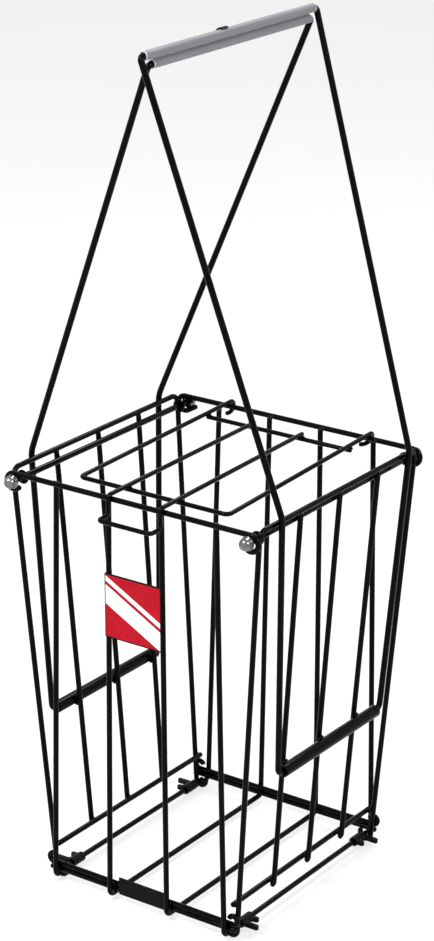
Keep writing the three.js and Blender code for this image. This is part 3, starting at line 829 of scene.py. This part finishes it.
def fork_outline():
    """A fork's outline round its slot, its short tine below and its long one above."""
    slot = HANDLE_BORE + CLIP_SLOT_PLAY
    tip = CLIP_TINE / 2
    root = (LOWER_ROD_RADIUS + GAP + CLIP_SLEEVE_RADIUS) / 2
    right, up = at(1, 0, 0), at(0, 1, 0)
    return [
        at(root, -slot - CLIP_TINE, 0),
        *arc(at(CLIP_SHORT_REACH - tip, -slot - tip, 0), -up, right, tip, math.pi),
        *reversed(arc(at(CLIP_SLEEVE_RADIUS + slot, 0, 0), up, -right, slot, math.pi)),
        *arc(at(CLIP_LONG_REACH - tip, slot + tip, 0), -up, right, tip, math.pi),
        at(root, slot + CLIP_TINE, 0),
    ]


def inset_step(outline, i, inset):
    """How a corner of a closed outline moves when the outline shrinks by the inset."""
    before = (outline[i] - outline[i - 1]).normalized()
    after = (outline[(i + 1) % len(outline)] - outline[i]).normalized()
    inward = at(-before.y - after.y, before.x + after.x, 0)
    return inward.normalized() * inset if inward.length > 0 else Vector()


def edge_levels(low, high, edge):
    """A plate's levels across its thickness, each with how far in it lies to soften the edges."""
    return (low, edge), (low + edge, 0), (high - edge, 0), (high, edge)


def make_leg_clip(end_name, end, side_name, side):
    """Forked clip: two rounded tines on a sleeve round the lower rod, the longer one on the post's side."""
    outline = fork_outline()
    half = CLIP_THICKNESS / 2
    bm = bmesh.new()
    rings = []
    for height, inset in edge_levels(-half, half, CLIP_THICKNESS * CLIP_EDGE_SHARE):
        ring = [p + inset_step(outline, i, inset) + at(0, 0, height) for i, p in enumerate(outline)]
        rings.append([bm.verts.new(p) for p in ring])
    bridge_rings(bm, rings)
    for ring in (rings[0], rings[-1]):
        filled = bm.faces.new(ring)
        filled.normal_update()
        bmesh.ops.triangulate(bm, faces=[filled])
    bore = LOWER_ROD_RADIUS + GAP
    sleeve = tube_outline(bore, CLIP_SLEEVE_RADIUS, -CLIP_LENGTH / 2, CLIP_LENGTH / 2)
    lathed(bm, sleeve, Matrix.Identity(4))
    flip_long_tine = Matrix.Diagonal((side, end, 1, 1))
    depth = leg_depth_at_rod(side_name, side, end)
    place = Matrix.Translation((side * HOOK_X, depth, LOWER_ROD_HEIGHT)) @ flip_long_tine
    bmesh.ops.transform(bm, matrix=place, verts=bm.verts)
    name = f"{end_name}_{side_name}"
    clip = mesh_object("leg_clip_moulded_" + name, bm, MOULDED)
    dress(clip, "basket", "black_plastic", "leg_clip_" + name)


def lid_x(side, share):
    """The lid frame's side wire in X, from the hinge at share 0 to the lid's front at share 1."""
    rear = LID_REAR_CENTRE_X + side * LID_REAR_HALF_WIDTH
    return rear + (LID_FRONT_CENTRE_X + side * LID_FRONT_HALF_WIDTH - rear) * share


def make_lid_frame():
    """The lid's frame wire, whose ends curl round the back rim wire and drift to the left as they do."""
    def curl(side):
        centre = at(lid_x(side, 0), RIM_HALF_DEPTH, LID_REST - CURL_RADIUS)
        turn = arc(centre, at(0, 0, 1), at(0, 1, 0), CURL_RADIUS, CURL_SWEEP)
        last = len(turn) - 1
        return [p - at(CURL_TAILS[side] * (i / last) ** 2, 0, 0) for i, p in enumerate(turn)]

    left_curl = curl(-1)[::-1]
    corners = [
        left_curl.pop(),
        at(lid_x(-1, 1), -LID_FRONT_DEPTH, LID_REST - LID_SPACING),
        at(lid_x(1, 1), -LID_FRONT_DEPTH, LID_REST - LID_SPACING),
        at(lid_x(1, 0), RIM_HALF_DEPTH, LID_REST),
    ]
    stations = [*left_curl, *bent(corners, (LID_CORNER, LID_CORNER)), *curl(1)[1:]]
    wire("lid_frame_wire", stations, LID_WIRE, "lid")


def make_lid_cross_wire():
    ends = [lid_x(side, LID_REAR_SHARE) + side * LID_RADIUS for side in (-1, 1)]
    wire("lid_cross_wire", [at(x, LID_CROSS_DEPTH, LID_CROSS_HEIGHT) for x in ends], LID_WIRE, "lid")


def tab_leg(side):
    front_x = TAB_FRONT_CENTRE_X + side * TAB_FRONT_HALF_WIDTH
    rear_x = TAB_REAR_CENTRE_X + side * TAB_REAR_HALF_WIDTH
    return [
        at(rear_x, LID_CROSS_DEPTH + LID_RADIUS, LID_CROSS_HEIGHT + LID_SPACING),
        at(front_x, TAB_DEPTH, LID_REST),
        at(front_x, TAB_DEPTH, LID_REST - TAB_DROP),
        at(front_x, TAB_DEPTH - TAB_REACH, LID_REST - TAB_DROP),
    ]


def make_lid_tab():
    """One wire with two legs along the lid, drawn forward over the rim and down into the lifting tab."""
    corners = [*tab_leg(-1), *reversed(tab_leg(1))]
    wire("lid_tab_wire", bent(corners, [TAB_BEND] * (len(corners) - 2)), LID_WIRE, "lid")


def rounded_plate(bm, low, high, corner, edge):
    """A flat plate between two corners, facing Y, with rounded corners and softened edges."""
    middle_x, middle_z = (low.x + high.x) / 2, (low.z + high.z) / 2

    def ring(y, inset):
        radius = max(corner - inset, corner * LEAST_CORNER_SHARE)
        half_x = (high.x - low.x) / 2 - inset - radius
        half_z = (high.z - low.z) / 2 - inset - radius
        points = []
        for quarter, (across, up) in enumerate(((1, 1), (-1, 1), (-1, -1), (1, -1))):
            for i in range(PLATE_CORNER_STEPS + 1):
                turn = math.pi / 2 * (quarter + i / PLATE_CORNER_STEPS)
                x = middle_x + across * half_x + radius * math.cos(turn)
                z = middle_z + up * half_z + radius * math.sin(turn)
                points.append(at(x, y, z))
        return [bm.verts.new(p) for p in points]

    capped_rings(bm, [ring(y, inset) for y, inset in edge_levels(low.y, high.y, edge)])


def plate_box(node):
    """A plate node's corners in the part's millimetres, before the depth shift."""
    low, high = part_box(node)
    shift = at(0, DEPTH_SHIFT, 0)
    return low / MM - shift, high / MM - shift


def make_sign():
    """A black backing, and on its front a red face inside a narrow border."""
    low, high = plate_box("sign_plate")
    bm = bmesh.new()
    backing_low = at(low.x, low.y + SIGN_FACE_RELIEF, low.z)
    rounded_plate(bm, backing_low, high, PLATE_CORNER, SIGN_FACE_RELIEF)
    dress(mesh_object("sign_backing", bm, MOULDED), "basket", "black_plastic", "sign_plate")
    bm = bmesh.new()
    border = at(SIGN_BORDER, 0, SIGN_BORDER)
    face_low = low + border
    face_high = at(high.x, low.y + 2 * SIGN_FACE_RELIEF, high.z) - border
    rounded_plate(bm, face_low, face_high, PLATE_CORNER / 2, SIGN_FACE_RELIEF * EDGE_SHARE)
    face = mesh_object("sign_face", bm, SIGN)
    # The face's origin goes to its middle, because the bands are laid out from there
    middle = (face_low + face_high) / 2 + at(0, DEPTH_SHIFT, 0)
    face.data.transform(Matrix.Translation(-middle * MM))
    face.location = middle * MM
    dress(face, "basket", "red_plate")


def make_strip():
    low, high = plate_box("strip_plate")
    bm = bmesh.new()
    rounded_plate(bm, low, high, PLATE_CORNER, (high.y - low.y) * EDGE_SHARE)
    dress(mesh_object("strip_moulded", bm, MOULDED), "basket", "black_plastic", "strip_plate")


def weld_bead(bm, place, along, seed):
    """A short lumpy bead of weld under the coating, drawn out along one of the wires that it joins."""
    made = bmesh.ops.create_icosphere(bm, subdivisions=WELD_SUBDIVISIONS, radius=1)
    side = along.orthogonal().normalized()
    third = along.cross(side)
    for vertex in made["verts"]:
        lump = 1 + WELD_LUMP_SHARE * noise.noise(vertex.co * WELD_LUMP_RATE + at(seed, 0, 0))
        reach = vertex.co * lump
        around = side * reach.y + third * reach.z
        vertex.co = place + along * reach.x * WELD_LENGTH / 2 + around * WELD_WIDTH / 2


def make_welds(name, body, along, places):
    bm = bmesh.new()
    for seed, place in enumerate(places):
        weld_bead(bm, place, along, seed)
    dress(mesh_object(name, bm, COATED), body, "coated_wire")


def make_end_welds(end_name, end):
    """Bar tops on the rim wire, bar feet on the bottom bars, and the second bar on the bottom one."""
    rim_face = end * (RIM_HALF_DEPTH - WELD_SPACING / 2)
    foot_face = end * (BOTTOM_BAR_DEPTH + WELD_SPACING / 2)
    between_bars = BOTTOM_BAR_HEIGHT + WELD_SPACING / 2
    places = []
    for side in (-1, 1):
        places += [
            at(side * OUTER_BAR_TOP_X + BAR_TOP_SHIFT, rim_face, END_RIM_HEIGHT),
            at(side * INNER_BAR_TOP_X + BAR_TOP_SHIFT, rim_face, END_RIM_HEIGHT),
            at(side * OUTER_BAR_FOOT_X, foot_face, BOTTOM_BAR_HEIGHT),
            at(side * INNER_BAR_FOOT_X, foot_face, BOTTOM_BAR_HEIGHT),
            at(side * INNER_BAR_FOOT_X, foot_face, SECOND_BAR_HEIGHT),
            at(side * OUTER_BAR_FOOT_X / 2, end * BOTTOM_BAR_DEPTH, between_bars),
        ]
    make_welds("weld_beads_" + end_name, "basket", at(1, 0, 0), places)


def make_side_welds(side_name, side):
    """Side bars on the rim, the rail and the pivot tube, and the posts on the rail and the lower rod."""
    rim_face = SIDE_RIM_HEIGHT - FRAME_RADIUS
    rail_face = side * (SIDE_RAIL_X + WELD_SPACING / 2)
    tube_face = side * (panel_x(PIVOT_HEIGHT) + FRAME_RADIUS + GAP / 2)
    rod_face = LOWER_ROD_HEIGHT - LOWER_ROD_RADIUS
    share = (PIVOT_HEIGHT - SIDE_RAIL_HEIGHT) / (SIDE_RIM_HEIGHT - SIDE_RAIL_HEIGHT)
    tube_y = SIDE_BAR_FOOT_Y + (SIDE_BAR_TOP_Y - SIDE_BAR_FOOT_Y) * share
    places = []
    for place in (-1, 0, 1):
        places += [
            at(side * panel_x(rim_face), place * SIDE_BAR_TOP_Y, rim_face),
            at(rail_face, place * SIDE_BAR_FOOT_Y, SIDE_RAIL_HEIGHT),
            at(tube_face, place * tube_y, PIVOT_HEIGHT - TUBE_WELD_RISE),
            at(tube_face, place * tube_y, PIVOT_HEIGHT + TUBE_WELD_RISE),
        ]
    for end in (-1, 1):
        places += [
            at(rail_face, end * post_depth(SIDE_RAIL_HEIGHT), SIDE_RAIL_HEIGHT),
            at(side * HOOK_X, end * POST_FOOT_HALF_DEPTH, rod_face),
        ]
    make_welds("weld_beads_" + side_name, "basket", at(0, 1, 0), places)


def make_lid_welds():
    under_frame = LID_CROSS_HEIGHT + LID_SPACING / 2
    places = []
    for side in (-1, 1):
        places.append(at(lid_x(side, LID_REAR_SHARE), LID_CROSS_DEPTH, under_frame))
        rear, front = tab_leg(side)[:2]
        for depth in (LID_CROSS_DEPTH, -LID_FRONT_DEPTH):
            crossing = rear.lerp(front, (rear.y - depth) / (rear.y - front.y))
            places.append(crossing - at(0, 0, LID_SPACING / 2))
    make_welds("weld_beads_lid", "lid", at(1, 0, 0), places)


def seen_directly(tree):
    """1 for camera, glossy and transmission rays, so that metal mirrors the pale background too."""
    rays = tree.nodes.new("ShaderNodeLightPath").outputs
    seen = math_node(tree, "MAXIMUM", rays["Is Camera Ray"], rays["Is Glossy Ray"])
    return math_node(tree, "MAXIMUM", seen, rays["Is Transmission Ray"])


def make_floor():
    """A pale floor, partly see-through to the white world, so that handles folded below it still show."""
    bm = bmesh.new()
    bmesh.ops.create_circle(bm, cap_ends=True, radius=FLOOR_REACH, segments=FLOOR_SIDES)
    mesh = bpy.data.meshes.new("studio_floor")
    bm.to_mesh(mesh)
    bm.free()
    floor = bpy.data.objects.new("studio_floor", mesh)
    bpy.context.scene.collection.objects.link(floor)
    material = textured(
        "pale_floor", base=(0.9, 0.9, 0.9), roughness=0.7, Specular_IOR_Level=0.1,
        tone=dict(scale=3, detail=2, stops=[(0.3, (0.88, 0.88, 0.88)), (0.7, (0.91, 0.91, 0.91))]),
    )
    tree = material.node_tree
    share = math_node(tree, "MULTIPLY", seen_directly(tree), FLOOR_CLEAR_SHARE)
    solid = tree.nodes["Principled BSDF"].outputs["BSDF"]
    clear = tree.nodes.new("ShaderNodeBsdfTransparent").outputs["BSDF"]
    surface = blended_shader(tree, share, solid, clear)
    tree.links.new(surface, tree.nodes["Material Output"].inputs["Surface"])
    mesh.materials.append(material)


def make_world():
    """White where it is seen, and dimmer where it only lights the model."""
    world = bpy.data.worlds.new("studio")
    bpy.context.scene.world = world
    world.use_nodes = True
    tree = world.node_tree
    lit = tree.nodes["Background"]
    lit.inputs["Color"].default_value = WHITE
    lit.inputs["Strength"].default_value = WORLD_STRENGTH
    shown = tree.nodes.new("ShaderNodeBackground")
    shown.inputs["Color"].default_value = WHITE
    outputs = lit.outputs["Background"], shown.outputs["Background"]
    surface = blended_shader(tree, seen_directly(tree), *outputs)
    tree.links.new(surface, tree.nodes["World Output"].inputs["Surface"])


def direction(azimuth, elevation):
    """The way to an azimuth, counted from the front towards the right, and an elevation, both in degrees."""
    turn, rise = math.radians(azimuth), math.radians(elevation)
    return at(math.sin(turn) * math.cos(rise), -math.cos(turn) * math.cos(rise), math.sin(rise))


def aimed(obj, place, target):
    obj.location = place
    obj.rotation_euler = (target - place).to_track_quat("-Z", "Y").to_euler()
    bpy.context.scene.collection.objects.link(obj)


def make_lights():
    for name, azimuth, elevation, reach, diameter, power in LIGHTS:
        lamp = bpy.data.lights.new(name, "AREA")
        lamp.shape = "DISK"
        lamp.size = diameter
        lamp.energy = power
        place = LIGHT_TARGET + direction(azimuth, elevation) * reach
        aimed(bpy.data.objects.new(name, lamp), place, LIGHT_TARGET)


def make_camera():
    """A camera at the photograph's viewing angle, distance and lens."""
    data = bpy.data.cameras.new("photo_camera")
    data.sensor_fit = "VERTICAL"
    data.sensor_height = SENSOR
    data.lens = LENS
    data.clip_end = VIEW_REACH
    target = (CAMERA_TARGET + at(0, DEPTH_SHIFT, 0)) * MM
    camera = bpy.data.objects.new("photo_camera", data)
    aimed(camera, target + direction(CAMERA_AZIMUTH, CAMERA_ELEVATION) * CAMERA_DISTANCE * MM, target)
    bpy.context.scene.camera = camera


make_camera()
make_rim_wires()
make_front_and_back_bars()
make_bottom_bars()
for side_name, side in SIDES:
    make_side_frame(side_name, side)
    make_side_bars(side_name, side)
    make_lengthwise_rods(side_name, side)
    make_axle(side_name, side)
    make_handle_wire(side_name, side)
    make_grip_sleeve(side_name)
    make_pivot_tube(side_name, side)
    for end_name, end in ENDS:
        make_leg_clip(end_name, end, side_name, side)
make_grip_clip()
make_sign()
make_strip()
for end_name, end in ENDS:
    make_end_welds(end_name, end)
for side_name, side in SIDES:
    make_side_welds(side_name, side)
make_lid_frame()
make_lid_cross_wire()
make_lid_tab()
make_lid_welds()
make_floor()
make_world()
make_lights()

bpy.context.scene.view_settings.view_transform = "Standard"
